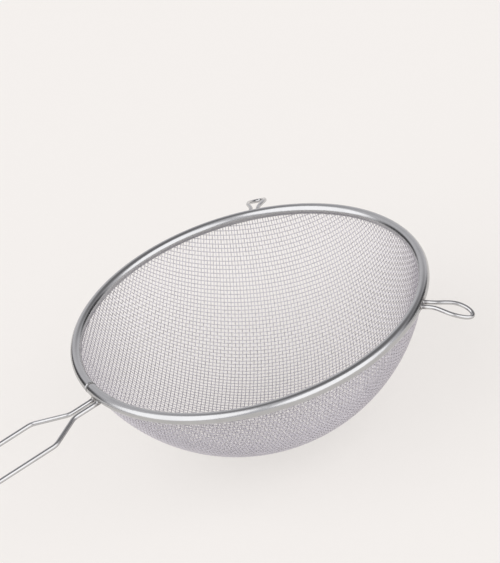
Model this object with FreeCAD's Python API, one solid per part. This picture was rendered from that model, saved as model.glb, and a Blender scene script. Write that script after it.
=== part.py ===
import FreeCAD, Part
import math
import os

# Round wire-mesh sieve: a bowl of woven stainless cloth clamped in a rolled tubular rim, with a
# bent-wire handle and two bent-wire rest ears welded to the rim.
# Frame: origin at the centre of the rim, +Z up along the bowl's axis, handle towards -X.
# Everything is in millimetres.

# rim: a strip rolled into a round tube round the edge of the cloth
RIM_OUTER_RADIUS = 100.0
TUBE_RADIUS = 3.1
STRIP_THICKNESS = 0.5
SEAM_AZIMUTH = 174.4
SEAM_WIDTH = 0.5
SEAM_HEIGHT = 0.12

# hidden ring of wire that stops the cloth pulling out of the tube
CORE_WIRE_RADIUS = 1.0
CORE_RING_RADIUS = 98.25
CORE_RING_HEIGHT = -0.4

# bowl: part of a sphere, pressed from plain-woven cloth of two layers of wire
CLOTH_WIRE_DIAMETER = 0.45
BOWL_DEPTH = 75.0
BOWL_ENTRY_RADIUS = 96.4
BOWL_ENTRY_HEIGHT = -3.0
CLOTH_HELD_LENGTH = 4.6

# handle: one wire bent into a long U, both ends welded to the rim
HANDLE_WIRE_DIAMETER = 2.6
HANDLE_ROOT_HEIGHT = -2.3
HANDLE_SLOPE = 2.6
HANDLE_ROOT_SPACING = 4.7
HANDLE_GRIP_WIDTH = 28.3
HANDLE_FIRST_BEND = 115.0
HANDLE_SECOND_BEND = 133.0
HANDLE_END = 290.0
HANDLE_BEND_RADIUS = 8.0
HANDLE_CORNER_RADIUS = 11.0

# rest ears: two wire loops that leave the rim level and curve down
EAR_WIRE_DIAMETER = 2.35
LEFT_EAR_AZIMUTH = 54.7
RIGHT_EAR_AZIMUTH = -52.4
EAR_ROOT_HEIGHT = -0.4
EAR_ROOT_SPACING = 4.2
EAR_WIDTH = 9.8
EAR_STRAIGHT = 5.0
EAR_WIDEST = 18.5
EAR_LENGTH = 28.0
EAR_CURVE_RADIUS = 50.0

# welds: nuggets where a wire meets the tube
HANDLE_NUGGET = 1.8
EAR_NUGGET = 1.6
NUGGET_OUTSET = 0.5

TUBE_CENTRE_RADIUS = RIM_OUTER_RADIUS - TUBE_RADIUS
CLOTH_THICKNESS = 2 * CLOTH_WIRE_DIAMETER
AXIS_BASE = FreeCAD.Vector(0, 0, 0)
AXIS_Z = FreeCAD.Vector(0, 0, 1)


def meridian(radius, height):
    """A point of the section plane, at a distance from the axis and a height."""
    return FreeCAD.Vector(radius, 0, height)


def edge(start, end):
    """A straight edge."""
    return Part.LineSegment(start, end).toShape()


def arc(start, middle, end):
    """A circular edge through three points."""
    return Part.Arc(start, middle, end).toShape()


def revolved(edges):
    """The solid that a closed section makes when it turns about the Z axis."""
    return Part.Face(Part.Wire(edges)).revolve(AXIS_BASE, AXIS_Z, 360)


def single_solid(shape):
    """The one solid of a boolean result, with its seams merged."""
    solids = shape.removeSplitter().Solids
    assert len(solids) == 1, len(solids)
    return solids[0]


def bowl_sphere():
    """Radius of the bowl's outer sphere and the height of its centre."""
    rise = BOWL_ENTRY_HEIGHT + BOWL_DEPTH
    radius = (BOWL_ENTRY_RADIUS ** 2 + rise ** 2) / (2 * rise)
    return radius, radius - BOWL_DEPTH


def bowl_arc(radius, centre_height, end_angle):
    """A meridian arc of the bowl from the lowest point up to an angle from straight down."""
    points = []
    for angle in (0.0, end_angle / 2, end_angle):
        points.append(meridian(radius * math.sin(angle), centre_height - radius * math.cos(angle)))
    return points


def mesh_bowl():
    """The woven bowl as a closed skin as thick as two of its wires, with its edge in the rim."""
    radius, centre_height = bowl_sphere()
    end_angle = math.acos((centre_height - BOWL_ENTRY_HEIGHT) / radius)
    outer = bowl_arc(radius, centre_height, end_angle)
    inner = bowl_arc(radius - CLOTH_THICKNESS, centre_height, end_angle)
    along = meridian(math.cos(end_angle), math.sin(end_angle)) * CLOTH_HELD_LENGTH
    section = [
        arc(*outer),
        edge(outer[2], outer[2] + along),
        edge(outer[2] + along, inner[2] + along),
        edge(inner[2] + along, inner[2]),
        arc(inner[2], inner[1], inner[0]),
        edge(inner[0], outer[0]),
    ]
    return revolved(section)


def tube_section(outer_radius, inner_radius=0.0):
    """The tube's round section as a face, either a ring or a full disc."""
    centre = meridian(TUBE_CENTRE_RADIUS, 0)
    normal = FreeCAD.Vector(0, 1, 0)
    outline = Part.Wire(Part.Circle(centre, normal, outer_radius).toShape())
    if not inner_radius:
        return Part.Face(outline)
    hole = Part.Wire(Part.Circle(centre, normal, inner_radius).toShape())
    return Part.Face(outline).cut(Part.Face(hole))


def ring_of(face, start=0.0, sweep=360.0):
    """A section face turned about the rim's axis."""
    turned = face.copy()
    turned.rotate(AXIS_BASE, AXIS_Z, start)
    return turned.revolve(AXIS_BASE, AXIS_Z, sweep)


def filled_rim():
    """The whole space inside the rim's outer surface, for trimming what meets it."""
    return ring_of(tube_section(TUBE_RADIUS))


def seam_half_angle():
    """Half of the angle that the seam takes up at the tube's centre, in degrees."""
    return math.degrees(SEAM_WIDTH / 2 / TUBE_CENTRE_RADIUS)


def rim_band(cloth):
    """The rolled strip, open only at the seam and along the slit where the cloth goes in."""
    half = seam_half_angle()
    section = tube_section(TUBE_RADIUS, TUBE_RADIUS - STRIP_THICKNESS)
    tube = ring_of(section, SEAM_AZIMUTH + half, 360 - 2 * half)
    return single_solid(tube.cut(cloth))


def rim_seam_weld(cloth):
    """The weld that joins the two ends of the strip, a little proud of the tube."""
    half = seam_half_angle()
    section = tube_section(TUBE_RADIUS + SEAM_HEIGHT, TUBE_RADIUS - STRIP_THICKNESS)
    bead = ring_of(section, SEAM_AZIMUTH - half, 2 * half)
    return single_solid(bead.cut(cloth))


def rim_core_wire():
    """The closed ring of wire inside the tube."""
    ring = Part.makeTorus(CORE_RING_RADIUS, CORE_WIRE_RADIUS)
    ring.translate(FreeCAD.Vector(0, 0, CORE_RING_HEIGHT))
    return ring


def rounded_path(points, radii):
    """Straight runs through the points, joined at each inner point by an arc of its radius."""
    edges = []
    last = points[0]
    for before, corner, after, radius in zip(points, points[1:], points[2:], radii):
        back = (before - corner).normalize()
        ahead = (after - corner).normalize()
        half_turn = (math.pi - back.getAngle(ahead)) / 2
        trim = radius * math.tan(half_turn)
        start = corner + back * trim
        end = corner + ahead * trim
        bisector = (back + ahead).normalize()
        middle = corner + bisector * (radius / math.cos(half_turn) - radius)
        edges.append(edge(last, start))
        edges.append(arc(start, middle, end))
        last = end
    edges.append(edge(last, points[-1]))
    return Part.Wire(edges)


def swept_wire(path, diameter):
    """A round wire along a path."""
    first = path.OrderedEdges[0]
    start = first.valueAt(first.FirstParameter)
    direction = first.tangentAt(first.FirstParameter)
    circle = Part.Wire(Part.Circle(start, direction, diameter / 2).toShape())
    return path.makePipeShell([circle], True, False)


def handle_point(reach, side):
    """A point of the handle's plane, from its distance out and its sideways place."""
    drop = math.tan(math.radians(HANDLE_SLOPE)) * (reach - RIM_OUTER_RADIUS)
    return FreeCAD.Vector(-reach, side, HANDLE_ROOT_HEIGHT - drop)


def handle_wire(rim_space):
    """The U-shaped handle, its two ends shaped to the side of the tube."""
    root = HANDLE_ROOT_SPACING / 2
    grip = HANDLE_GRIP_WIDTH / 2
    tip = HANDLE_END - HANDLE_WIRE_DIAMETER / 2
    one_leg = [
        (TUBE_CENTRE_RADIUS + 1, root),
        (HANDLE_FIRST_BEND, root),
        (HANDLE_SECOND_BEND, grip),
        (tip, grip),
    ]
    other_leg = [(reach, -side) for reach, side in reversed(one_leg)]
    points = [handle_point(reach, side) for reach, side in one_leg + other_leg]
    bends = [HANDLE_BEND_RADIUS, HANDLE_BEND_RADIUS, HANDLE_CORNER_RADIUS]
    path = rounded_path(points, bends + bends[::-1])
    return single_solid(swept_wire(path, HANDLE_WIRE_DIAMETER).cut(rim_space))


def ear_half_width(reach):
    """Half of the ear's width at a distance along it, from the root to the tip."""
    root = EAR_ROOT_SPACING / 2
    widest = EAR_WIDTH / 2
    if reach <= EAR_STRAIGHT:
        return root
    if reach <= EAR_WIDEST:
        part = (reach - EAR_STRAIGHT) / (EAR_WIDEST - EAR_STRAIGHT)
        return root + (widest - root) * part * part * (3 - 2 * part)
    past = (reach - EAR_WIDEST) / (EAR_LENGTH - EAR_WIDEST)
    return widest * math.sqrt(max(0.0, 1 - past * past))


def ear_point(reach, side):
    """A point of the ear's centreline, bent down along a cylinder, with the ear towards +X."""
    turn = reach / EAR_CURVE_RADIUS
    out = RIM_OUTER_RADIUS - 1 + EAR_CURVE_RADIUS * math.sin(turn)
    return FreeCAD.Vector(out, side, EAR_ROOT_HEIGHT - EAR_CURVE_RADIUS * (1 - math.cos(turn)))


def ear_side_points():
    """Points along one side of the ear, from inside the tube to just before the tip."""
    reaches = [-1.5, 0.5, 2.5, EAR_STRAIGHT - 0.8]
    spread = EAR_WIDEST - EAR_STRAIGHT
    reaches += [EAR_STRAIGHT + spread * share for share in (0.2, 0.4, 0.6, 0.8, 1.0)]
    length = EAR_LENGTH - EAR_WIDEST
    reaches += [EAR_WIDEST + length * math.sin(math.radians(angle)) for angle in (22, 44, 66)]
    return [ear_point(reach, ear_half_width(reach)) for reach in reaches]


def ear_loop(rim_space, azimuth):
    """One rest ear, its two ends shaped to the side of the tube."""
    side = ear_side_points()
    mirrored = [FreeCAD.Vector(point.x, -point.y, point.z) for point in reversed(side)]
    curve = Part.BSplineCurve()
    curve.interpolate(side + [ear_point(EAR_LENGTH, 0)] + mirrored)
    ear = swept_wire(Part.Wire(curve.toShape()), EAR_WIRE_DIAMETER)
    ear.rotate(AXIS_BASE, AXIS_Z, azimuth)
    return single_solid(ear.cut(rim_space))


def nugget(position, radius, cutters):
    """A weld nugget: a small ball round a wire's root, less the wire and the tube."""
    ball = Part.makeSphere(radius, position)
    for cutter in cutters:
        ball = ball.cut(cutter)
    return max(ball.Solids, key=lambda solid: solid.Volume)


def handle_welds(handle, rim_space):
    """The two nuggets at the handle's ends."""
    solids = []
    for side in (-HANDLE_ROOT_SPACING / 2, HANDLE_ROOT_SPACING / 2):
        position = handle_point(RIM_OUTER_RADIUS - NUGGET_OUTSET, side)
        solids.append(nugget(position, HANDLE_NUGGET, (handle, rim_space)))
    return Part.makeCompound(solids)


def ear_welds(ears, rim_space):
    """The four nuggets at the ears' ends."""
    solids = []
    for azimuth, ear in ears:
        for side in (-EAR_ROOT_SPACING / 2, EAR_ROOT_SPACING / 2):
            position = ear_point(1 - NUGGET_OUTSET, side)
            turned = FreeCAD.Rotation(AXIS_Z, azimuth).multVec(position)
            solids.append(nugget(turned, EAR_NUGGET, (ear, rim_space)))
    return Part.makeCompound(solids)


def build():
    """All pieces by name."""
    cloth = mesh_bowl()
    rim_space = filled_rim()
    handle = handle_wire(rim_space)
    ear_left = ear_loop(rim_space, LEFT_EAR_AZIMUTH)
    ear_right = ear_loop(rim_space, RIGHT_EAR_AZIMUTH)
    ears = ((LEFT_EAR_AZIMUTH, ear_left), (RIGHT_EAR_AZIMUTH, ear_right))
    return {
        "mesh_bowl": cloth,
        "rim_band": rim_band(cloth),
        "rim_seam_weld": rim_seam_weld(cloth),
        "rim_core_wire": rim_core_wire(),
        "handle_wire": handle,
        "handle_welds": handle_welds(handle, rim_space),
        "ear_left": ear_left,
        "ear_right": ear_right,
        "ear_welds": ear_welds(ears, rim_space),
    }


os.makedirs("parts", exist_ok=True)
for name, shape in build().items():
    assert shape.isValid(), name
    shape.exportStep("parts/" + name + ".step")
    box = shape.BoundBox
    low = (round(box.XMin, 2), round(box.YMin, 2), round(box.ZMin, 2))
    high = (round(box.XMax, 2), round(box.YMax, 2), round(box.ZMax, 2))
    print(name, len(shape.Solids), "solids", round(shape.Volume, 1), "mm3", low, high)
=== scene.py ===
"""Looks of a round wire-mesh sieve: woven bowl, rolled rim, bent-wire handle and two rest ears."""

import logging
import math
from collections.abc import Sequence
from dataclasses import dataclass, field
from enum import Enum

import bpy
import numpy as np
from mathutils import Matrix, Vector


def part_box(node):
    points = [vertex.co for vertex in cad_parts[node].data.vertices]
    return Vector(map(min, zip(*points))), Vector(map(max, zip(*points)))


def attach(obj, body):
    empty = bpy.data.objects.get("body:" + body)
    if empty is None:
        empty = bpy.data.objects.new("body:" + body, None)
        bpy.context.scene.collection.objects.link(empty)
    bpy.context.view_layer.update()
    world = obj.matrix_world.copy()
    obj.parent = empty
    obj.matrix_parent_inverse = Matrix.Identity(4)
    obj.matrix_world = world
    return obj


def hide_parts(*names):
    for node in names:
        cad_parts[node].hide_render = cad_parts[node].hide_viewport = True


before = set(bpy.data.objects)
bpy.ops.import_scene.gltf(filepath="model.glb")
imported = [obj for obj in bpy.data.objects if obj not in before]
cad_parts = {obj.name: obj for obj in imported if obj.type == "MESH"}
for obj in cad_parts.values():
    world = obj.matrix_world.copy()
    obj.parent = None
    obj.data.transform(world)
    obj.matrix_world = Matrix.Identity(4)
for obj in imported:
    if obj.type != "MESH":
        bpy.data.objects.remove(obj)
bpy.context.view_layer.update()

LOG = logging.getLogger("sieve")
MM = 0.001
UP = np.array([0.0, 0.0, 1.0])
ARC_STEP = math.radians(4.5)
LEAST_ARC_STEPS = 6
TOUCH_STEPS = 400

Colour = tuple[float, float, float, float]


class Slot(Enum):
    """Material slots of the record, one named with each piece."""

    RIM = "rim_steel"
    CLOTH = "cloth_steel"
    WIRE = "wire_steel"
    WELD = "weld_steel"


class Strand(Enum):
    """The two families of wires that cross in the cloth, with the sign of their first rise."""

    WARP = 1
    WEFT = -1


class Side(Enum):
    """The two rest ears, with the azimuth that each points to, in degrees."""

    LEFT = 54.7
    RIGHT = -52.4

    @property
    def azimuth(self) -> float:
        """The azimuth in radians."""
        return math.radians(self.value)


def unit(vectors: np.ndarray) -> np.ndarray:
    """Vectors scaled to a length of one.

    Args:
        vectors: An array whose last axis holds x, y and z.

    Returns:
        An array of the same shape.
    """
    return vectors / np.linalg.norm(vectors, axis=-1, keepdims=True)


def ripple(values: np.ndarray, seed: float, waves: int = 4) -> np.ndarray:
    """A smooth irregular wave between about -1 and 1, the same on every run.

    Args:
        values: Where it is read, in turns of its slowest wave.
        seed: A number that gives each user a wave of its own.
        waves: How many sines are added up.

    Returns:
        The wave's values.
    """
    per_seed, per_wave, mixing = 12.9898, 78.233, 43758.5453
    places = np.asarray(values, float)
    total = np.zeros_like(places)
    for k in range(1, waves + 1):
        phase = math.sin(seed * per_seed + k * per_wave) * mixing % math.tau
        total += np.sin(math.tau * k * places + phase) / math.sqrt(k)
    return total / math.sqrt(waves)


def spokes_round(first: np.ndarray, second: np.ndarray, sides: int) -> np.ndarray:
    """Unit spokes evenly round each point of a path.

    Args:
        first: The first spoke's direction at each point, shape (points, 3).
        second: The direction a quarter turn on from it, of the same shape.
        sides: How many spokes a point has.

    Returns:
        The spokes, shape (points, sides, 3).
    """
    angles = np.linspace(0, math.tau, sides, endpoint=False)
    return (
        first[:, None, :] * np.cos(angles)[None, :, None]
        + second[:, None, :] * np.sin(angles)[None, :, None]
    )


class MeshBuilder:
    """Collects closed skins of points and faces, and makes one mesh object of them."""

    def __init__(self) -> None:
        """Starts with nothing in it."""
        self._points: list[np.ndarray] = []
        self._quads: list[np.ndarray] = []
        self._caps: list[np.ndarray] = []
        self._count = 0

    def add_skin(self, rows: np.ndarray, closed: bool = False) -> None:
        """Adds a tube of rings, ended by caps unless its last ring joins its first.

        Args:
            rows: Rings of points, shape (rings, points, 3), each ring counterclockwise seen
                from the side that the rings advance to.
            closed: True if the last ring joins the first.
        """
        rings, around = rows.shape[:2]
        index = np.arange(rings * around).reshape(rings, around) + self._count
        here = index if closed else index[:-1]
        ahead = np.roll(index, -1, axis=0) if closed else index[1:]
        corners = (here, np.roll(here, -1, axis=1), np.roll(ahead, -1, axis=1), ahead)
        self._quads.append(np.stack(corners, axis=-1).reshape(-1, 4))
        self._points.append(rows.reshape(-1, 3))
        if not closed:
            self._caps.append(index[0][::-1])
            self._caps.append(index[-1])
        self._count += rings * around

    def build(self, name: str, material: bpy.types.Material) -> bpy.types.Object:
        """Makes the object, smooth-shaded and in the scene.

        Args:
            name: The object's name.
            material: Its only material.

        Returns:
            The new object.
        """
        quads = np.concatenate(self._quads)
        loops = np.concatenate([quads.ravel(), *self._caps])
        caps = [len(cap) for cap in self._caps]
        sizes = np.concatenate([np.full(len(quads), 4), caps]).astype(int)
        starts = np.concatenate([[0], np.cumsum(sizes)[:-1]])
        mesh = bpy.data.meshes.new(name)
        mesh.vertices.add(self._count)
        mesh.vertices.foreach_set("co", np.concatenate(self._points).astype(np.float32).ravel())
        mesh.loops.add(len(loops))
        mesh.loops.foreach_set("vertex_index", loops.astype(np.int32))
        mesh.polygons.add(len(sizes))
        mesh.polygons.foreach_set("loop_start", starts.astype(np.int32))
        mesh.polygons.foreach_set("use_smooth", np.ones(len(sizes), bool))
        mesh.update(calc_edges=True)
        mesh.validate()
        mesh.materials.append(material)
        piece = bpy.data.objects.new(name, mesh)
        bpy.context.scene.collection.objects.link(piece)
        return piece


def place(piece: bpy.types.Object, slot: Slot, *nodes: str) -> None:
    """Rides a piece on the object's one body, in place of its CAD nodes.

    Args:
        piece: The finished piece.
        slot: The record's material slot for it; it is not used.
        nodes: The CAD nodes that it stands for.
    """
    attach(piece, "root")
    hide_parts(*nodes)
    LOG.info("%s: %d faces, for %s", piece.name, len(piece.data.polygons), ", ".join(nodes))


def place_skin(
    rows: np.ndarray, name: str, material: bpy.types.Material, slot: Slot, node: str
) -> None:
    """Makes a piece of one capped skin and places it.

    Args:
        rows: The skin's rings, as add_skin takes them.
        name: The piece's name.
        material: Its material.
        slot: The record's material slot for it.
        node: The CAD node that it stands for.
    """
    builder = MeshBuilder()
    builder.add_skin(rows)
    place(builder.build(name, material), slot, node)


def clockwise(section: np.ndarray) -> np.ndarray:
    """A closed section with its points in clockwise order, as add_skin needs on a turned ring.

    Args:
        section: Points of a plane, shape (points, 2).

    Returns:
        The same points, reversed where needed.
    """
    x, y = section[:, 0], section[:, 1]
    area = np.sum(x * np.roll(y, -1) - np.roll(x, -1) * y)
    return section if area < 0 else section[::-1]


# ---------------------------------------------------------------- shader graphs


class Value:
    """A number that a node puts out, with arithmetic that adds Math nodes."""

    def __init__(self, graph: "Graph", socket: bpy.types.NodeSocket) -> None:
        """Wraps one output socket of a graph's node."""
        self.graph = graph
        self.socket = socket

    def _math(self, operation: str, *others: "Value | float") -> "Value":
        """One Math node with this value first."""
        return self.graph.math(operation, self, *others)

    def __add__(self, other: "Value | float") -> "Value":
        """This value plus another."""
        return self._math("ADD", other)

    def __radd__(self, other: float) -> "Value":
        """A number plus this value."""
        return self._math("ADD", other)

    def __sub__(self, other: "Value | float") -> "Value":
        """This value less another."""
        return self._math("SUBTRACT", other)

    def __rsub__(self, other: float) -> "Value":
        """A number less this value."""
        return self.graph.math("SUBTRACT", other, self)

    def __mul__(self, other: "Value | float") -> "Value":
        """This value times another."""
        return self._math("MULTIPLY", other)

    def __rmul__(self, other: float) -> "Value":
        """A number times this value."""
        return self._math("MULTIPLY", other)

    def __pow__(self, other: float) -> "Value":
        """This value raised to a power."""
        return self._math("POWER", other)

    def ramp(self, low: float, high: float) -> "Value":
        """A smooth step from 0 at low to 1 at high."""
        return self.graph.node(
            "ShaderNodeMapRange",
            {"interpolation_type": "SMOOTHSTEP"},
            {"Value": self, "From Min": low, "From Max": high},
        )


@dataclass(frozen=True)
class Grain:
    """A noise's size and make-up."""

    scale: float
    """Features per metre, or per unit of the vector it is read at."""
    detail: float = 2.0
    """How many finer layers it has."""
    rough: float = 0.5
    """How strong the finer layers are."""


class Graph:
    """The node tree of a material, or of the studio's world, under construction."""

    def __init__(self, owner: bpy.types.Material | bpy.types.World, output: str) -> None:
        """Clears the owner's tree down to one output node of this type."""
        owner.use_nodes = True
        self.owner = owner
        self.tree = owner.node_tree
        self.tree.nodes.clear()
        self.output = self.tree.nodes.new(output)

    @classmethod
    def of_material(cls, name: str) -> "Graph":
        """The graph of a new material."""
        return cls(bpy.data.materials.new(name), "ShaderNodeOutputMaterial")

    @classmethod
    def of_world(cls, name: str) -> "Graph":
        """The graph of a new world."""
        return cls(bpy.data.worlds.new(name), "ShaderNodeOutputWorld")

    def node(
        self,
        kind: str,
        settings: dict[str, object] | None = None,
        inputs: dict[str | int, object] | None = None,
        output: str | int = 0,
    ) -> Value:
        """Adds a node.

        Args:
            kind: The node's type.
            settings: Properties set before its sockets.
            inputs: Values or links by socket name or number.
            output: Which of its outputs is returned.

        Returns:
            That output.
        """
        made = self.tree.nodes.new(kind)
        for key, value in (settings or {}).items():
            setattr(made, key, value)
        for key, value in (inputs or {}).items():
            self.feed(made.inputs[key], value)
        return Value(self, made.outputs[output])

    def feed(self, socket: bpy.types.NodeSocket, value: object) -> None:
        """Links a Value to a socket, or sets a plain value on it."""
        if isinstance(value, Value):
            self.tree.links.new(value.socket, socket)
        else:
            socket.default_value = value

    def math(self, operation: str, *values: "Value | float") -> Value:
        """One Math node on values and numbers."""
        return self.node("ShaderNodeMath", {"operation": operation}, dict(enumerate(values)))

    def vector(self, operation: str, *values: object, output: int = 0) -> Value:
        """One Vector Math node on vectors."""
        inputs = dict(enumerate(values))
        return self.node("ShaderNodeVectorMath", {"operation": operation}, inputs, output)

    def place(self) -> Value:
        """The point being shaded, in the part's own frame, in metres."""
        return self.node("ShaderNodeTexCoord", output="Object")

    def split(self, vector: Value) -> tuple[Value, Value, Value]:
        """The three components of a vector."""
        first = self.node("ShaderNodeSeparateXYZ", inputs={0: vector})
        outputs = first.socket.node.outputs
        return tuple(Value(self, outputs[k]) for k in range(3))

    def joined(self, x: Value, y: Value, z: Value) -> Value:
        """A vector of three values."""
        return self.node("ShaderNodeCombineXYZ", inputs={0: x, 1: y, 2: z})

    def noise(self, where: Value, grain: "Grain") -> Value:
        """Noise of one grain at a place, from 0 to 1."""
        inputs = {
            "Vector": where,
            "Scale": grain.scale,
            "Detail": grain.detail,
            "Roughness": grain.rough,
        }
        return self.node("ShaderNodeTexNoise", inputs=inputs)

    def blend(self, factor: "Value | float", first: object, second: object) -> Value:
        """Mixes two colours."""
        inputs = {0: factor, 6: first, 7: second}
        return self.node("ShaderNodeMix", {"data_type": "RGBA"}, inputs, output=2)

    def bump(self, height: Value, depth: float, strength: float = 1.0) -> Value:
        """A normal that follows a height from 0 to 1, deep by a number of metres."""
        inputs = {"Strength": strength, "Distance": depth, "Height": height}
        return self.node("ShaderNodeBump", inputs=inputs)

    def steel(self, **sockets: object) -> bpy.types.Material:
        """The material, as a metal with these sockets set or linked."""
        return self.surface(Metallic=1.0, **sockets)

    def finish_with(self, shader: Value) -> bpy.types.Material | bpy.types.World:
        """Links a shader to the output and returns the material or world."""
        self.feed(self.output.inputs["Surface"], shader)
        return self.owner

    def surface(self, **sockets: object) -> bpy.types.Material:
        """The material, as a Principled surface with these sockets set or linked.

        Args:
            sockets: Socket names with underscores for spaces.

        Returns:
            The finished material.
        """
        inputs = {name.replace("_", " "): value for name, value in sockets.items()}
        return self.finish_with(self.node("ShaderNodeBsdfPrincipled", inputs=inputs))


def grey(level: float, warmth: float = 0.0) -> Colour:
    """A near-grey linear colour, warmer above 0 and cooler below."""
    return (level * (1 + warmth), level, level * (1 - warmth), 1.0)


@dataclass(frozen=True)
class HeatTint:
    """The straw and blue-grey bloom that welding leaves on steel round a root."""

    roots: tuple[tuple[float, float, float], ...]
    reach: float = 4.0 * MM
    straw: Colour = (0.46, 0.38, 0.28, 1.0)
    straw_least: float = 0.12
    straw_in_patches: float = 0.2
    smoke: Colour = (0.11, 0.11, 0.13, 1.0)
    smoke_least: float = 0.4
    smoke_in_patches: float = 0.5
    patches: Grain = Grain(900.0, 3.0)

    def nearness(self, graph: Graph, where: Value) -> Value:
        """How near a place is to the nearest root.

        Args:
            graph: The material's graph.
            where: The place.

        Returns:
            1 at a root, falling to 0 at the bloom's reach.
        """
        distances = [graph.vector("DISTANCE", where, root, output=1) for root in self.roots]
        nearest = distances[0]
        for distance in distances[1:]:
            nearest = graph.math("MINIMUM", nearest, distance)
        return 1.0 - nearest.ramp(0.3 * self.reach, self.reach)

    def colour(self, graph: Graph, where: Value, base: Value) -> Value:
        """The base colour with the bloom on it.

        Args:
            graph: The material's graph.
            where: The place.
            base: The steel's own colour.

        Returns:
            The tinted colour.
        """
        near = self.nearness(graph, where)
        patchy = graph.noise(where, self.patches).ramp(0.25, 0.75)
        straw_share = near * (self.straw_least + self.straw_in_patches * patchy)
        smoke_share = (near ** 2.0) * (self.smoke_in_patches * patchy + self.smoke_least)
        return graph.blend(smoke_share, graph.blend(straw_share, base, self.straw), self.smoke)


@dataclass(frozen=True)
class RolledStripFinish:
    """Bright rolled strip of the rim, with faint lines round the hoop and light handling wear."""

    tint: HeatTint
    centre_radius: float
    colour: Colour = grey(0.52, -0.004)
    dull: Colour = grey(0.45, -0.006)
    roughness: float = 0.17
    around_hoop: float = 2.2
    fine_lines: Grain = Grain(42.0, 4.0, 0.62)
    broad_lines: Grain = Grain(5.0)
    smudges: Grain = Grain(46.0, 3.0, 0.55)
    scuffs: Grain = Grain(1400.0)
    relief: float = 0.02 * MM
    relief_strength: float = 0.5

    def material(self) -> bpy.types.Material:
        """Builds the rim's material."""
        graph = Graph.of_material("rim_steel_rolled")
        where = graph.place()
        x, y, z = graph.split(where)
        azimuth = graph.math("ARCTAN2", y, x)
        out = graph.math("SQRT", x * x + y * y) - self.centre_radius
        round_tube = graph.math("ARCTAN2", z, out)
        across, along = graph.math("SINE", round_tube), graph.math("COSINE", round_tube)
        drawn = graph.joined(azimuth * self.around_hoop, across, along)
        fine = graph.noise(drawn, self.fine_lines)
        broad = graph.noise(drawn, self.broad_lines)
        smudge = graph.noise(where, self.smudges)
        scuffs = graph.noise(where, self.scuffs).ramp(0.62, 0.8)
        colour = graph.blend(smudge.ramp(0.38, 0.72) * 0.5 + fine * 0.2, self.colour, self.dull)
        wear = smudge.ramp(0.4, 0.75) * 0.07 + scuffs * 0.05
        roughness = self.roughness + (fine - 0.5) * 0.10 + wear
        height = fine * 0.7 + broad * 0.3 + scuffs * 0.2
        return graph.steel(
            Base_Color=self.tint.colour(graph, where, colour),
            Roughness=roughness + self.tint.nearness(graph, where) * 0.12,
            Normal=graph.bump(height, self.relief, self.relief_strength),
        )


@dataclass(frozen=True)
class DrawnWireFinish:
    """Bright drawn wire of the handle or an ear, with die lines along it."""

    name: str
    tint: HeatTint
    azimuth: float
    colour: Colour = grey(0.55, 0.0)
    dull: Colour = grey(0.48, 0.004)
    roughness: float = 0.13
    stretch_along: float = 0.04
    die_lines: Grain = Grain(5200.0, 3.0, 0.6)
    smudges: Grain = Grain(120.0, 3.0, 0.55)
    nicks: Grain = Grain(2300.0, 1.0)
    relief: float = 0.012 * MM
    relief_strength: float = 0.6

    def material(self) -> bpy.types.Material:
        """Builds the wire's material."""
        graph = Graph.of_material(self.name)
        where = graph.place()
        turned = graph.node(
            "ShaderNodeVectorRotate",
            {"rotation_type": "Z_AXIS"},
            {"Vector": where, "Angle": -self.azimuth},
        )
        along = graph.vector("MULTIPLY", turned, (self.stretch_along, 1.0, 1.0))
        die_lines = graph.noise(along, self.die_lines)
        smudge = graph.noise(where, self.smudges)
        nicks = graph.noise(where, self.nicks).ramp(0.66, 0.8)
        colour = graph.blend(smudge.ramp(0.4, 0.75) * 0.5 + die_lines * 0.2, self.colour, self.dull)
        roughness = self.roughness + (die_lines - 0.5) * 0.08 + smudge.ramp(0.45, 0.8) * 0.08
        return graph.steel(
            Base_Color=self.tint.colour(graph, where, colour),
            Roughness=roughness + self.tint.nearness(graph, where) * 0.15,
            Normal=graph.bump(die_lines * 0.6 + nicks * 0.4, self.relief, self.relief_strength),
        )


@dataclass(frozen=True)
class ClothWireFinish:
    """Fine bright wire of the woven cloth, with patches of handling wear."""

    name: str
    seed: float
    colour: Colour = (0.64, 0.62, 0.655, 1.0)
    dull: Colour = (0.56, 0.54, 0.575, 1.0)
    roughness: float = 0.38
    patches: Grain = Grain(26.0, 3.0, 0.55)
    wires: Grain = Grain(330.0, 1.0)
    grain: Grain = Grain(6000.0, 2.0, 0.6)
    relief: float = 0.008 * MM
    relief_strength: float = 0.5

    def material(self) -> bpy.types.Material:
        """Builds the cloth wire's material."""
        graph = Graph.of_material(self.name)
        where = graph.vector("ADD", graph.place(), (self.seed, 0.0, 0.0))
        patches = graph.noise(where, self.patches)
        wires = graph.noise(where, self.wires)
        grain = graph.noise(where, self.grain)
        worn = patches.ramp(0.35, 0.7) * 0.55 + wires.ramp(0.3, 0.7) * 0.35
        return graph.steel(
            Base_Color=graph.blend(worn, self.colour, self.dull),
            Roughness=self.roughness + (grain - 0.5) * 0.12 + wires.ramp(0.4, 0.8) * 0.08,
            Normal=graph.bump(grain, self.relief, self.relief_strength),
        )


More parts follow.
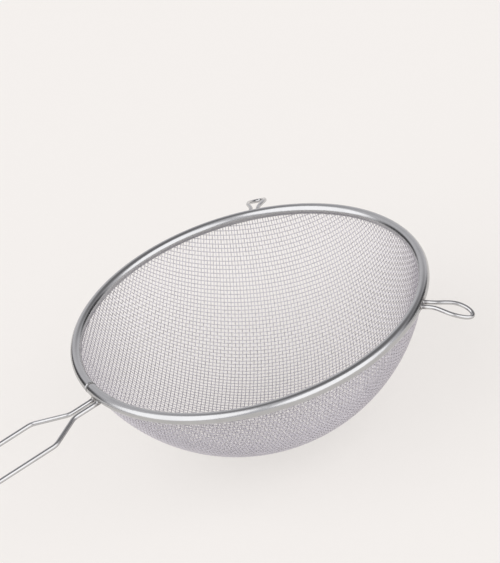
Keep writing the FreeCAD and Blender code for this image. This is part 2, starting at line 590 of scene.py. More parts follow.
@dataclass(frozen=True)
class WeldFinish:
    """Bright weld metal: fused, rippled and a little heat-tinted."""

    name: str
    colour: Colour = grey(0.36, 0.005)
    straw: Colour = (0.33, 0.30, 0.26, 1.0)
    smoke: Colour = (0.10, 0.10, 0.12, 1.0)
    roughness: float = 0.26
    pools: Grain = Grain(700.0)
    grain: Grain = Grain(3600.0, 3.0, 0.6)
    relief: float = 0.05 * MM
    relief_strength: float = 0.7

    def material(self) -> bpy.types.Material:
        """Builds the weld metal's material."""
        graph = Graph.of_material(self.name)
        where = graph.place()
        pools = graph.noise(where, self.pools)
        grain = graph.noise(where, self.grain)
        tinted = graph.blend(pools.ramp(0.45, 0.75) * 0.5, self.colour, self.straw)
        colour = graph.blend(grain.ramp(0.55, 0.8) * 0.45, tinted, self.smoke)
        return graph.steel(
            Base_Color=colour,
            Roughness=self.roughness + pools * 0.12 + (grain - 0.5) * 0.1,
            Normal=graph.bump(pools * 0.6 + grain * 0.4, self.relief, self.relief_strength),
        )


@dataclass(frozen=True)
class HiddenWireFinish:
    """Plain mill-finish wire of the ring inside the rim."""

    colour: Colour = grey(0.46, 0.006)
    dark: Colour = grey(0.34, 0.01)
    roughness: float = 0.34
    scale_marks: Grain = Grain(300.0, 4.0, 0.6)
    grain: Grain = Grain(4200.0)
    relief: float = 0.01 * MM
    relief_strength: float = 0.6

    def material(self) -> bpy.types.Material:
        """Builds the hidden ring's material."""
        graph = Graph.of_material("core_wire_steel")
        where = graph.place()
        scale_marks = graph.noise(where, self.scale_marks)
        grain = graph.noise(where, self.grain)
        return graph.steel(
            Base_Color=graph.blend(scale_marks.ramp(0.4, 0.75), self.colour, self.dark),
            Roughness=self.roughness + scale_marks * 0.14,
            Normal=graph.bump(grain, self.relief, self.relief_strength),
        )


@dataclass(frozen=True)
class FloorFinish:
    """Plain pale floor, partly shining by itself so that the sieve's shadow stays faint."""

    colour: Colour = (0.915, 0.880, 0.855, 1.0)
    """What is seen beyond the floor's edge."""
    paint: Colour = (0.42, 0.404, 0.392, 1.0)
    glow: Colour = (0.484, 0.470, 0.449, 1.0)

    def material(self) -> bpy.types.Material:
        """Builds the floor's material."""
        return Graph.of_material("pale_floor").surface(
            Base_Color=self.paint,
            Roughness=1.0,
            Specular_IOR_Level=0.0,
            Emission_Color=self.glow,
            Emission_Strength=1.0,
        )


# ---------------------------------------------------------------- wires and their roots


def rounded_path(corners: np.ndarray, radii: Sequence[float], step: float) -> np.ndarray:
    """Points along straight runs joined by arcs.

    Args:
        corners: The corners, shape (corners, 3), with the two ends.
        radii: An arc radius for each corner between the ends.
        step: The longest stretch between points on a straight run.

    Returns:
        The points, shape (points, 3).
    """
    points = [corners[:1]]
    last = corners[0]
    for before, corner, after, radius in zip(corners, corners[1:], corners[2:], radii):
        back, ahead = unit(before - corner), unit(after - corner)
        half_turn = (math.pi - math.acos(float(back @ ahead))) / 2
        start = corner + back * radius * math.tan(half_turn)
        points.append(straight(last, start, step))
        centre = corner + unit(back + ahead) * radius / math.cos(half_turn)
        steps = max(LEAST_ARC_STEPS, int(2 * half_turn / ARC_STEP))
        turns = np.linspace(0, 2 * half_turn, steps + 1)[1:, None]
        points.append(centre + (start - centre) * np.cos(turns) - back * radius * np.sin(turns))
        last = points[-1][-1]
    points.append(straight(last, corners[-1], step))
    return np.concatenate(points)


def straight(start: np.ndarray, end: np.ndarray, step: float) -> np.ndarray:
    """Evenly spaced points from one point, left out, to another."""
    count = max(1, math.ceil(float(np.linalg.norm(end - start)) / step))
    shares = np.linspace(0, 1, count + 1)[1:, None]
    return start + (end - start) * shares


def smooth_curve(points: np.ndarray, per_span: int) -> np.ndarray:
    """A smooth curve through points, from cubic spans with even curvature where they join.

    Args:
        points: The points to pass through, shape (points, 3).
        per_span: How many steps each span is cut into.

    Returns:
        Points along the curve.
    """
    chords = np.linalg.norm(np.diff(points, axis=0), axis=1)
    count = len(points)
    matrix = np.zeros((count, count))
    right = np.zeros((count, 3))
    matrix[0, 0] = matrix[-1, -1] = 1.0
    for k in range(1, count - 1):
        before, after = chords[k - 1], chords[k]
        matrix[k, k - 1:k + 2] = before, 2 * (before + after), after
        right[k] = 6 * ((points[k + 1] - points[k]) / after - (points[k] - points[k - 1]) / before)
    bend = np.linalg.solve(matrix, right)
    curve = [points[:1]]
    for k in range(count - 1):
        lead = np.linspace(0, 1, per_span + 1)[1:, None]
        rest = 1 - lead
        span = chords[k] ** 2 / 6
        curve.append(
            rest * points[k]
            + lead * points[k + 1]
            + span * ((rest ** 3 - rest) * bend[k] + (lead ** 3 - lead) * bend[k + 1])
        )
    return np.concatenate(curve)


@dataclass
class RimTube:
    """The round tube of the rim as a surface that wires and welds meet."""

    centre_radius: float
    radius: float

    @classmethod
    def from_frame(cls) -> "RimTube":
        """Reads the tube's place and size from its CAD node."""
        low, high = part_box("rim_band")
        radius = (high.z - low.z) / 2
        return cls(high.x - radius, radius)

    def gap(self, points: np.ndarray) -> np.ndarray:
        """Signed distance of points from the tube's surface, above 0 outside it."""
        out = np.hypot(points[..., 0], points[..., 1]) - self.centre_radius
        return np.hypot(out, points[..., 2]) - self.radius

    def normal(self, points: np.ndarray) -> np.ndarray:
        """The surface normal nearest to each point."""
        radial = unit(points * np.array([1.0, 1.0, 0.0]))
        return unit(points - radial * self.centre_radius)

    def onto(self, points: np.ndarray, sink: float = 0.0) -> np.ndarray:
        """The points moved onto the surface, or below it by sink."""
        return points - self.normal(points) * (self.gap(points) + sink)[..., None]

    def first_touch(
        self, start: np.ndarray, direction: np.ndarray, length: float, sink: float
    ) -> np.ndarray:
        """Where lines that run into the tube first meet its surface.

        Args:
            start: The lines' starts, outside the tube, shape (lines, 3).
            direction: The one direction they all run in.
            length: How far they are followed.
            sink: How far below the surface the meeting is wanted.

        Returns:
            One point for each line, its nearest where it passes the tube by.
        """
        steps = np.linspace(0, length, TOUCH_STEPS)
        along = start[:, None, :] + direction * steps[None, :, None]
        gap = self.gap(along) + sink
        inside = gap <= 0
        first = np.where(inside.any(axis=1), inside.argmax(axis=1), gap.argmin(axis=1))
        return along[np.arange(len(start)), first]


@dataclass
class RoundWire:
    """A round wire along a line of points, its ends shaped to the rim's tube."""

    path: np.ndarray
    diameter: float
    sides: int = 28
    flat_at_bends: float = 0.025
    tightest_bend: float = 4.0
    """In diameters: the curve radius at which a bend is at its flattest."""
    smoothing: int = 4
    run_back: float = 1.2
    """In diameters: how far before its end a wire's points start their run to the tube."""
    run: float = 4.5
    """In diameters: how long that run may be."""

    def rings(self) -> np.ndarray:
        """Rings of points round the path, a little flattened in tight bends.

        Returns:
            An array of shape (points of the path, sides, 3).
        """
        path = self.path
        tangent = unit(np.gradient(path, axis=0))
        normal = np.zeros_like(path)
        helper = np.cross(tangent[0], UP)
        normal[0] = unit(np.cross(helper, tangent[0]))
        for k in range(1, len(path)):
            carried = normal[k - 1] - tangent[k] * float(normal[k - 1] @ tangent[k])
            normal[k] = unit(carried)
        across = np.cross(tangent, normal)
        bend = self._bends(tangent)
        inward = unit(bend + 1e-12 * normal)
        tightness = np.clip(np.linalg.norm(bend, axis=1) * self.tightest_bend * self.diameter, 0, 1)
        spokes = spokes_round(normal, across, self.sides)
        toward = np.einsum("ijk,ik->ij", spokes, inward)
        squeeze = 1 - self.flat_at_bends * tightness[:, None] * toward ** 2
        return path[:, None, :] + spokes * (self.diameter / 2 * squeeze)[..., None]

    def _bends(self, tangent: np.ndarray) -> np.ndarray:
        """The path's curvature vectors, spread a little along it."""
        lengths = np.linalg.norm(np.gradient(self.path, axis=0), axis=1)[:, None]
        bend = np.gradient(tangent, axis=0) / lengths
        for _ in range(self.smoothing):
            bend[1:-1] = (bend[:-2] + 2 * bend[1:-1] + bend[2:]) / 4
        return bend

    def shaped_rings(self, tube: RimTube, sink: float) -> np.ndarray:
        """The rings, with each end's points run up to the tube's wall.

        Args:
            tube: The rim's tube.
            sink: How far into the wall the wire goes.

        Returns:
            The rings, shape (rings, sides, 3).
        """
        rings = self.rings()
        for end, inner in ((0, 1), (-1, -2)):
            direction = unit(self.path[end] - self.path[inner])
            start = rings[inner] - direction * self.run_back * self.diameter
            rings[end] = tube.first_touch(start, direction, self.run * self.diameter, sink)
        return rings


@dataclass
class RootWeld:
    """A weld nugget: a fillet of fused metal all round a wire where it meets the rim's tube."""

    tube: RimTube
    root: np.ndarray
    direction: np.ndarray
    wire_diameter: float
    along: float
    spread: float
    seed: float
    uneven: tuple[float, float, float] = (0.16, 0.18, 0.4)
    """How much its length along the wire, its spread and its bulge vary round it."""
    bulge: float = 0.22 * MM
    bite: float = 0.06 * MM
    depth: float = 0.3 * MM
    back_off: float = 3.0
    """In wire diameters: how far out along the wire the tube's wall is looked for."""
    run: float = 5.5
    """In wire diameters: how far that search goes."""
    lean: float = 0.7
    """How far its foot leans towards the tube, against outwards from the wire."""
    around: int = 48
    across: int = 9

    def add_to(self, builder: MeshBuilder) -> None:
        """Adds the nugget as a closed ring of fused metal.

        Args:
            builder: What it is added to.
        """
        side = unit(np.cross(self.direction, UP))
        lift = np.cross(side, self.direction)
        angles = np.linspace(0, math.tau, self.around, endpoint=False)
        spokes = side * np.cos(angles)[:, None] + lift * np.sin(angles)[:, None]
        if float(np.cross(side, lift) @ self.direction) < 0:
            spokes = spokes[::-1]
        surface = self.root + spokes * self.wire_diameter / 2
        start = surface + self.direction * self.back_off * self.wire_diameter
        corner = self.tube.first_touch(start, -self.direction, self.run * self.wire_diameter, 0.0)
        normal = self.tube.normal(corner)
        slide = spokes - self.lean * self.direction
        slide = unit(slide - normal * np.sum(slide * normal, axis=1, keepdims=True))
        turns = angles / math.tau
        uneven_along, uneven_spread, uneven_bulge = self.uneven
        along = self.along * (1 + uneven_along * ripple(turns, self.seed, 5))
        spread = self.spread * (1 + uneven_spread * ripple(turns, self.seed + 3.7, 5))
        swell = self.bulge * (1 + uneven_bulge * ripple(turns, self.seed + 8.1, 6))
        top = corner + self.direction * along[:, None] - spokes * self.bite
        foot = self.tube.onto(corner + slide * spread[:, None], self.bite)
        control = corner + (normal + spokes) * swell[:, None]
        back = corner - (normal + spokes) * self.depth
        loop = [
            top * (1 - share) ** 2 + control * 2 * share * (1 - share) + foot * share ** 2
            for share in np.linspace(0, 1, self.across)
        ]
        rows = np.stack([*loop, back], axis=1)
        builder.add_skin(self._outward(rows, spokes), closed=True)

    def _outward(self, rows: np.ndarray, spokes: np.ndarray) -> np.ndarray:
        """The rows with each section clockwise, seen along the way round."""
        first = rows[0] - self.root
        flat = np.stack([first @ spokes[0], first @ self.direction], axis=1)
        turned = clockwise(flat)
        return rows if np.allclose(turned[0], flat[0]) else rows[:, ::-1]


# ---------------------------------------------------------------- sub-assemblies


@dataclass
class Rim:
    """The rolled rim: a strip closed round the cloth's edge, and the weld across its seam."""

    tube: RimTube
    finish: RolledStripFinish
    weld_finish: WeldFinish
    thickness: float = 0.5 * MM
    slit_angle: float = math.radians(252.0)
    slit_half_width: float = 0.55 * MM
    seam_azimuth: float = math.radians(174.4)
    seam_half_width: float = 0.25 * MM
    bead_half_width: float = 0.36 * MM
    bead_height: float = 0.11 * MM
    bead_ripples: float = 21.0
    bead_steps: int = 160
    bead_points: int = 13
    bead_bite: float = 0.03 * MM
    shoulder_depth: float = 0.12 * MM
    seam_gap: float = 0.01 * MM
    sway: float = 0.020 * MM
    around: int = 540
    section_points: int = 60
    lip_points: int = 7

    def section(self) -> np.ndarray:
        """The strip's rolled section as a closed line round the tube's centre, out and up.

        Returns:
            Points of the section plane, shape (points, 2).
        """
        lip = self.thickness / 2
        outer, inner = self.tube.radius, self.tube.radius - self.thickness
        middle = self.tube.radius - lip
        half = (self.slit_half_width + lip * 0.6) / middle
        start, end = self.slit_angle + half, self.slit_angle + math.tau - half
        angles = np.linspace(start, end, self.section_points)
        outside = outer * np.stack([np.cos(angles), np.sin(angles)], axis=1)
        inside = inner * np.stack([np.cos(angles[::-2]), np.sin(angles[::-2])], axis=1)
        return np.concatenate([outside, self._lip(end, 1), inside, self._lip(start, -1)])

    def _lip(self, angle: float, sign: int) -> np.ndarray:
        """The rounded edge of the strip at the slit, from its outer to its inner face or back."""
        lip = self.thickness / 2
        radial = np.array([math.cos(angle), math.sin(angle)])
        onward = np.array([-math.sin(angle), math.cos(angle)]) * sign
        middle = radial * (self.tube.radius - lip)
        turns = np.linspace(0, math.pi, self.lip_points)[1:-1, None]
        return middle + lip * (radial * sign * np.cos(turns) + 0.8 * onward * np.sin(turns))

    def _rows(self, azimuths: np.ndarray, out: np.ndarray, up: np.ndarray) -> np.ndarray:
        """Rows of points from their azimuths, distances from the axis and heights."""
        return np.stack([out * np.cos(azimuths), out * np.sin(azimuths), up], axis=-1)

    def build(self) -> None:
        """Builds the rolled strip and the bead across its seam."""
        self.band()
        self.seam_weld()

    def band(self) -> None:
        """Builds the rolled strip, open at its seam."""
        section = clockwise(self.section())
        half = self.seam_half_width / self.tube.centre_radius
        start, end = self.seam_azimuth + half, self.seam_azimuth + math.tau - half
        azimuths = np.linspace(start, end, self.around)
        sway = self.sway * (ripple(azimuths / math.tau, 2.3, 6) - 1.4)
        scale = 1 + sway / self.tube.radius
        out = self.tube.centre_radius + section[None, :, 0] * scale[:, None]
        up = section[None, :, 1] * scale[:, None]
        rows = self._rows(azimuths[:, None], out, up)
        place_skin(rows, "rim_band_rolled", self.finish.material(), Slot.RIM, "rim_band")

    def seam_weld(self) -> None:
        """Builds the bead across the seam, crowned and finely rippled."""
        slit = self.slit_half_width / self.tube.radius * 1.4
        start, end = self.slit_angle + slit, self.slit_angle + math.tau - slit
        angles = np.linspace(start, end, self.bead_steps)
        turns = np.linspace(-1, 1, self.bead_points)
        bow = 0.8 * np.cos(turns * math.pi)[None, :]
        chevron = 0.35 + 0.65 * np.abs(np.sin(angles[:, None] * self.bead_ripples + bow))
        crown = (1 - turns ** 2)[None, :] ** 0.6 * self.bead_height * (0.8 + 0.2 * chevron)
        edge = 1 + 0.08 * ripple(angles / math.tau, 5.1, 6)
        width = self.bead_half_width * edge[:, None] * turns[None, :]
        height = self.tube.radius - self.bead_bite + crown
        neck = self.seam_half_width - self.seam_gap
        root = self.tube.radius - self.thickness + 2 * self.seam_gap
        shoulder = self.tube.radius - self.shoulder_depth
        under_width = np.tile([neck, neck, -neck, -neck], (len(angles), 1))
        under_height = np.tile([shoulder, root, root, shoulder], (len(angles), 1))
        across = np.concatenate([width, under_width], axis=1)
        depth = np.concatenate([height, under_height], axis=1)
        azimuths = self.seam_azimuth + across / self.tube.centre_radius
        out = self.tube.centre_radius + depth * np.cos(angles)[:, None]
        rows = self._rows(azimuths, out, depth * np.sin(angles)[:, None])
        material = self.weld_finish.material()
        place_skin(rows, "rim_seam_bead", material, Slot.WELD, "rim_seam_weld")


@dataclass
class Cloth:
    """The woven bowl: every wire of its two families, over and under each other."""

    warp_finish: ClothWireFinish
    weft_finish: ClothWireFinish
    wire_diameter: float = 0.45 * MM
    pitch: float = 2.19 * MM
    entry_radius: float = 96.4 * MM
    entry_height: float = -3.0 * MM
    turn: float = math.radians(-38.1)
    stretch: float = 0.0385
    pull: float = 0.0869
    uneven_pitch: float = 0.05
    uneven_length: float = 23.0
    """In wires: the longest wave of the uneven pitch."""
    bow: float = 0.0022
    held_height: float = -1.9 * MM
    end_gap: float = 0.15
    sides: int = 8
    steps: int = 4
    bundles: int = 4
    radius: float = field(init=False)
    centre_height: float = field(init=False)

    def __post_init__(self) -> None:
        """Finds the sphere midway between the two layers of wire, from the CAD bowl's depth."""
        depth = -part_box("mesh_bowl")[0].z
        rise = self.entry_height + depth
        outer = (self.entry_radius ** 2 + rise ** 2) / (2 * rise)
        self.centre_height = outer - depth
        self.radius = outer - self.wire_diameter

    def flat(self, i: np.ndarray, j: np.ndarray) -> tuple[np.ndarray, np.ndarray]:
        """Where a crossing lies before the bowl is pressed, in radians from its lowest point.

        Args:
            i: How many wires it is across.
            j: How many wires it is along.

        Returns:
            Its two coordinates.
        """
        step = self.pitch / self.radius
        i = i + self.uneven_pitch * ripple(i / self.uneven_length, 1.9, 7)
        j = j + self.uneven_pitch * ripple(j / self.uneven_length, 6.4, 7)
        u, v = i * step, j * step
        for _ in range(10):
            u, v = i * step / (1 + self.pull * v ** 2), j * step / (1 + self.pull * u ** 2)
        return u + self.bow * np.sin(3.1 * v + 0.6), v + self.bow * np.sin(2.7 * u - 0.4)

    def angle(self, i: np.ndarray, j: np.ndarray) -> np.ndarray:
        """A crossing's angle from straight down, seen from the sphere's centre."""
        reach = np.hypot(*self.flat(i, j))
        angle = reach
        for _ in range(14):
            angle = reach + self.stretch * angle ** 3
        return angle

    def normal(self, i: np.ndarray, j: np.ndarray) -> np.ndarray:
        """The sphere's outward normal at a crossing."""
        u, v = self.flat(i, j)
        angle = self.angle(i, j)
        around = np.arctan2(v, u) + self.turn
        flat = np.sin(angle)
        return np.stack([flat * np.cos(around), flat * np.sin(around), -np.cos(angle)], axis=-1)

    def _half_length(self, number: int, strand: Strand, limit: float) -> float:
        """How far a wire runs from its middle before it reaches the rim, in wires crossed."""
        low, high = 0.0, 1.7 * self.radius / self.pitch
        for _ in range(40):
            middle = (low + high) / 2
            at = (number, middle) if strand is Strand.WARP else (middle, number)
            inside = float(self.angle(*np.array(at, float))) < limit
            low, high = (middle, high) if inside else (low, middle)
        return low

    def wire(self, number: int, strand: Strand, limit: float) -> np.ndarray | None:
        """One wire as rings of points.

        Args:
            number: Which wire it is, counted from the middle one.
            strand: Its family.
            limit: The angle from straight down at which it ends.

        Returns:
            Its rings, or None where no wire is left.
        """
        end = self._half_length(number, strand, limit)
        if end < 1.0:
            return None
        last = math.floor((end - self.end_gap) * self.steps)
        along = np.concatenate([[-end], np.arange(-last, last + 1) / self.steps, [end]])
        fixed = np.full_like(along, number)
        i, j = (fixed, along) if strand is Strand.WARP else (along, fixed)
        normal = self.normal(i, j)
        rise = strand.value * self.wire_diameter / 2 * np.cos(math.pi * (i + j))
        path = normal * (self.radius + rise)[:, None] + np.array([0, 0, self.centre_height])
        tangent = unit(np.gradient(path, axis=0))
        up = unit(normal - tangent * np.sum(normal * tangent, axis=1, keepdims=True))
        spokes = spokes_round(up, np.cross(tangent, up), self.sides)
        return path[:, None, :] + spokes * self.wire_diameter / 2

    def build(self) -> None:
        """Builds each family of wires as a few bundles side by side."""
        limit = math.acos((self.centre_height - self.held_height) / self.radius)
        count = math.ceil(1.5 * self.radius / self.pitch)
        for strand, finish in ((Strand.WARP, self.warp_finish), (Strand.WEFT, self.weft_finish)):
            material = finish.material()
            tried = (self.wire(number, strand, limit) for number in range(-count, count + 1))
            wires = [wire for wire in tried if wire is not None]
            share = sum(len(wire) for wire in wires) / self.bundles
            builders = [MeshBuilder() for _ in range(self.bundles)]
            done = 0
            for wire in wires:
                builders[min(int(done / share), self.bundles - 1)].add_skin(wire)
                done += len(wire)
            for number, builder in enumerate(builders, 1):
                name = f"cloth_{strand.name.lower()}_{number}"
                place(builder.build(name, material), Slot.CLOTH, "mesh_bowl")


@dataclass
class Handle:
    """The handle: one wire bent into a long U, welded to the rim at both ends."""

    tube: RimTube
    diameter: float = 2.6 * MM
    root_height: float = -2.3 * MM
    slope: float = math.radians(2.6)
    root_spacing: float = 4.7 * MM
    first_bend: float = 115 * MM
    second_bend: float = 133 * MM
    bend_radius: float = 8 * MM
    corner_radius: float = 11 * MM
    step: float = 2.5 * MM
    sink: float = 0.25 * MM
    weld_along: float = 1.3 * MM
    weld_spread: float = 1.35 * MM

    def point(self, reach: float, side: float) -> np.ndarray:
        """A point of the handle's plane, from its distance out and its sideways place."""
        rim = self.tube.centre_radius + self.tube.radius
        return np.array([-reach, side, self.root_height - math.tan(self.slope) * (reach - rim)])

    def path(self) -> np.ndarray:
        """The wire's centreline from one root to the other."""
        low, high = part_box("handle_wire")
        grip = (high.y - low.y - self.diameter) / 2
        tip = -low.x - self.diameter / 2
        root = self.root_spacing / 2
        leg = [
            (self.tube.centre_radius + 1 * MM, root),
            (self.first_bend, root),
            (self.second_bend, grip),
            (tip, grip),
        ]
        back = [(reach, -side) for reach, side in reversed(leg)]
        corners = np.array([self.point(reach, side) for reach, side in leg + back])
        bends = [self.bend_radius, self.bend_radius, self.corner_radius]
        return rounded_path(corners, bends + bends[::-1], self.step)

    def roots(self) -> list[np.ndarray]:
        """The centres of the two roots, at the tube's outer side."""
        rim = self.tube.centre_radius + self.tube.radius
        return [self.point(rim, side * self.root_spacing / 2) for side in (1, -1)]

    def build(self, finish: DrawnWireFinish, weld_finish: WeldFinish) -> None:
        """Builds the wire and its two welds.

        Args:
            finish: The wire's finish.
            weld_finish: The welds' finish.
        """
        rings = RoundWire(self.path(), self.diameter).shaped_rings(self.tube, self.sink)
        place_skin(rings, "handle_wire_bent", finish.material(), Slot.WIRE, "handle_wire")
        welds = MeshBuilder()
        direction = unit(self.point(0.2, 0.0) - self.point(0.1, 0.0))
        size = self.diameter, self.weld_along, self.weld_spread
        for number, root in enumerate(self.roots()):
            RootWeld(self.tube, root, direction, *size, seed=0.6 + number).add_to(welds)
        place(welds.build("handle_root_welds", weld_finish.material()), Slot.WELD, "handle_welds")


@dataclass
class Ears:
    """The two rest ears: loops of thinner wire that leave the rim level and curve down."""

    tube: RimTube
    diameter: float = 2.35 * MM
    root_height: float = -0.4 * MM
    root_spacing: float = 4.2 * MM
    width: float = 9.8 * MM
    straight_part: float = 5.0 * MM
    widest: float = 18.5 * MM
    length: float = 28.0 * MM
    curve_radius: float = 50 * MM
    start_inside: float = 1 * MM
    sides: int = 24
    sink: float = 0.25 * MM
    weld_along: float = 0.55 * MM
    weld_spread: float = 0.6 * MM

    def half_width(self, reach: float) -> float:
        """Half of the loop's width at a distance along it."""
        root, widest = self.root_spacing / 2, self.width / 2
        if reach <= self.straight_part:
            return root
        if reach <= self.widest:
            part = (reach - self.straight_part) / (self.widest - self.straight_part)
            return root + (widest - root) * part * part * (3 - 2 * part)
        past = (reach - self.widest) / (self.length - self.widest)
        return widest * math.sqrt(max(0.0, 1 - past * past))

    def point(self, reach: float, side: float) -> np.ndarray:
        """A point of the centreline, with the ear towards +X."""
        turn = reach / self.curve_radius
        rim = self.tube.centre_radius + self.tube.radius
        out = rim - self.start_inside + self.curve_radius * math.sin(turn)
        return np.array([out, side, self.root_height - self.curve_radius * (1 - math.cos(turn))])

    def path(self) -> np.ndarray:
        """The centreline of an ear towards +X, from one root to the other."""
        reaches = [-1.5 * MM, 0.5 * MM, 2.5 * MM, self.straight_part - 0.8 * MM]
        spread = self.widest - self.straight_part
        reaches += [self.straight_part + spread * share for share in (0.2, 0.4, 0.6, 0.8, 1.0)]
        tip = self.length - self.widest
        reaches += [self.widest + tip * math.sin(math.radians(angle)) for angle in (22, 44, 66)]
        side = [self.point(reach, self.half_width(reach)) for reach in reaches]
        mirrored = [point * np.array([1, -1, 1]) for point in reversed(side)]
        return smooth_curve(np.array([*side, self.point(self.length, 0.0), *mirrored]), 8)

    def turned(self, points: np.ndarray, side: Side) -> np.ndarray:
        """Points of the ear towards +X, turned to where the ear stands."""
        turn = np.array(Matrix.Rotation(side.azimuth, 3, "Z"))
        return points @ turn.T

    def roots(self, side: Side) -> np.ndarray:
        """The centres of an ear's two roots, at the tube's outer side."""
        half = self.root_spacing / 2
        places = [self.point(self.start_inside, place) for place in (half, -half)]
        return self.turned(np.array(places), side)

    def build(self, tint: HeatTint, weld_finish: WeldFinish) -> None:
        """Builds both ears and their four welds.

        Args:
            tint: The bloom round the welds.
            weld_finish: The welds' finish.
        """
        welds = MeshBuilder()
        for side in Side:
            wire = RoundWire(self.turned(self.path(), side), self.diameter, self.sides)
            name = f"ear_{side.name.lower()}"
            material = DrawnWireFinish(f"{name}_steel", tint, side.azimuth).material()
            rings = wire.shaped_rings(self.tube, self.sink)
            place_skin(rings, f"{name}_bent", material, Slot.WIRE, name)
            direction = self.turned(np.array([1.0, 0.0, 0.0]), side)
            size = self.diameter, self.weld_along, self.weld_spread
            for number, root in enumerate(self.roots(side)):
                seed = 2.5 + number + side.azimuth
                RootWeld(self.tube, root, direction, *size, seed=seed).add_to(welds)
        place(welds.build("ear_root_welds", weld_finish.material()), Slot.WELD, "ear_welds")


@dataclass(frozen=True)
class Shade:
    """A dark part of the room round the lights. All its numbers but the last are in degrees."""

    bearing: float
    lift: float
    full_within: float
    gone_beyond: float
    level: float


@dataclass(frozen=True)
class SoftLight:
    """A round soft light, by where it is seen from the rim's centre, in degrees."""

    name: str
    bearing: float
    lift: float
    half_angle: float


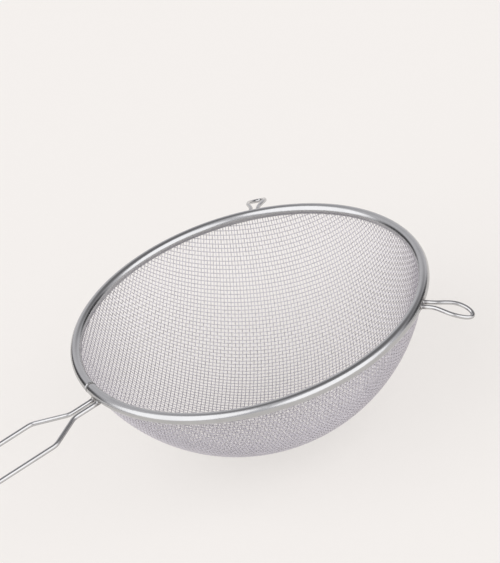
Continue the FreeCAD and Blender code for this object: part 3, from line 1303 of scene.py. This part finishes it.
@dataclass
class Studio:
    """The pale floor, the soft lights, the room and the camera."""

    floor_size: float = 12.0
    azimuth: float = math.radians(-24.4)
    elevation: float = math.radians(31.342)
    roll: float = math.radians(-16.946)
    distance: float = 1.24343
    aside: float = -0.00102
    above: float = -0.01411
    lens: float = 165.6
    view_reach: float = 60.0
    light_radiance: float = 1.0
    lights: tuple[SoftLight, ...] = (
        SoftLight("left_light", -66.0, 38.0, 38.0),
        SoftLight("right_light", 38.0, 27.0, 36.0),
    )
    room: float = 0.78
    room_colour: Colour = (1.0, 0.985, 1.02, 1.0)
    shades: tuple[Shade, ...] = (
        Shade(140.0, 62.0, 14.0, 42.0, 0.25),
        Shade(-132.0, 6.0, 14.0, 28.0, 0.08),
        Shade(112.0, 14.0, 10.0, 26.0, 0.08),
    )

    def floor(self) -> None:
        """Builds the floor under the bowl's lowest point."""
        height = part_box("mesh_bowl")[0].z
        half = self.floor_size
        corners = [(-half, -half), (half, -half), (half, half), (-half, half)]
        mesh = bpy.data.meshes.new("floor")
        mesh.from_pydata([(x, y, height) for x, y in corners], [], [(0, 1, 2, 3)])
        mesh.materials.append(FloorFinish().material())
        floor = bpy.data.objects.new("floor", mesh)
        bpy.context.scene.collection.objects.link(floor)

    def axes(self) -> tuple[Vector, Vector, Vector]:
        """The camera's right, up and back directions, before its roll."""
        a, e = self.azimuth, self.elevation
        back = Vector((math.sin(a) * math.cos(e), -math.cos(a) * math.cos(e), math.sin(e)))
        right = Vector((math.cos(a), math.sin(a), 0))
        return right, back.cross(right), back

    def camera(self) -> None:
        """Builds the camera and makes it the scene's."""
        level, upright, back = self.axes()
        right = level * math.cos(self.roll) + upright * math.sin(self.roll)
        up = upright * math.cos(self.roll) - level * math.sin(self.roll)
        data = bpy.data.cameras.new("camera")
        data.lens = self.lens
        data.sensor_fit = "HORIZONTAL"
        data.clip_end = self.view_reach
        camera = bpy.data.objects.new("camera", data)
        matrix = Matrix((right, up, back)).transposed().to_4x4()
        matrix.translation = back * self.distance - right * self.aside - up * self.above
        camera.matrix_world = matrix
        bpy.context.scene.collection.objects.link(camera)
        bpy.context.scene.camera = camera

    def toward(self, bearing: float, lift: float) -> Vector:
        """A direction from the rim's centre, seen from the camera.

        Args:
            bearing: Degrees round from the camera's own side, positive to its right.
            lift: Degrees above the horizon.

        Returns:
            The direction, one long.
        """
        right, _, back = self.axes()
        front = Vector((back.x, back.y, 0)).normalized()
        turn, rise = math.radians(bearing), math.radians(lift)
        level = front * math.cos(turn) + right * math.sin(turn)
        return level * math.cos(rise) + Vector((0, 0, math.sin(rise)))

    def soft_light(self, light: SoftLight) -> None:
        """Adds a light, so far off that it lights the whole floor alike."""
        away = self.toward(light.bearing, light.lift)
        half_angle = math.radians(light.half_angle)
        data = bpy.data.lights.new(light.name, "SUN")
        data.angle = 2 * half_angle
        data.energy = self.light_radiance * math.pi * math.sin(half_angle) ** 2
        lamp = bpy.data.objects.new(light.name, data)
        lamp.rotation_mode = "QUATERNION"
        lamp.rotation_quaternion = away.to_track_quat("Z", "Y")
        lamp.location = away
        bpy.context.scene.collection.objects.link(lamp)

    def sky(self) -> None:
        """Sets the dim room round the lights, with the dark corners that shape the steel."""
        graph = Graph.of_world("studio")
        ways = graph.node("ShaderNodeTexCoord", output="Generated")
        level: Value | float = self.room
        for shade in self.shades:
            away = tuple(self.toward(shade.bearing, shade.lift))
            facing = graph.vector("DOT_PRODUCT", ways, away, output=1)
            far, near = math.radians(shade.gone_beyond), math.radians(shade.full_within)
            level = level + facing.ramp(math.cos(far), math.cos(near)) * (shade.level - level)
        seen = graph.node("ShaderNodeLightPath")
        lit = {"Color": self.room_colour, "Strength": level}
        room = graph.node("ShaderNodeBackground", inputs=lit)
        plain = graph.node("ShaderNodeBackground", inputs={"Color": FloorFinish().colour})
        mixed = graph.node("ShaderNodeMixShader", inputs={0: seen, 1: room, 2: plain})
        bpy.context.scene.world = graph.finish_with(mixed)

    def build(self) -> None:
        """Builds the floor, the camera, the lights and the room."""
        self.floor()
        self.camera()
        for light in self.lights:
            self.soft_light(light)
        self.sky()
        bpy.context.scene.view_settings.view_transform = "Standard"
        LOG.info("studio: floor, lights and camera")


def carry_over(node: str, material: bpy.types.Material) -> None:
    """Gives a CAD node that stays as it is a finished material.

    Args:
        node: The node's name.
        material: Its new material.
    """
    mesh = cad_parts[node].data
    mesh.materials.clear()
    mesh.materials.append(material)
    LOG.info("%s: carried over", node)


def main() -> None:
    """Builds the sieve's pieces in order, then the studio."""
    logging.basicConfig(level=logging.INFO, format="%(name)s: %(message)s")
    tube = RimTube.from_frame()
    handle = Handle(tube)
    ears = Ears(tube)
    places = handle.roots() + [root for side in Side for root in ears.roots(side)]
    tint = HeatTint(tuple(tuple(map(float, place)) for place in places))
    weld_finish = WeldFinish("root_weld_steel")
    strip_finish = RolledStripFinish(tint, tube.centre_radius)
    Rim(tube, strip_finish, WeldFinish("seam_weld_steel", roughness=0.42)).build()
    carry_over("rim_core_wire", HiddenWireFinish().material())
    warp_finish = ClothWireFinish("warp_wire_steel", seed=0.0)
    weft_finish = ClothWireFinish("weft_wire_steel", seed=1.7)
    Cloth(warp_finish, weft_finish).build()
    handle.build(DrawnWireFinish("handle_steel", tint, 0.0), weld_finish)
    ears.build(tint, weld_finish)
    Studio().build()


if __name__ == "__main__":
    main()
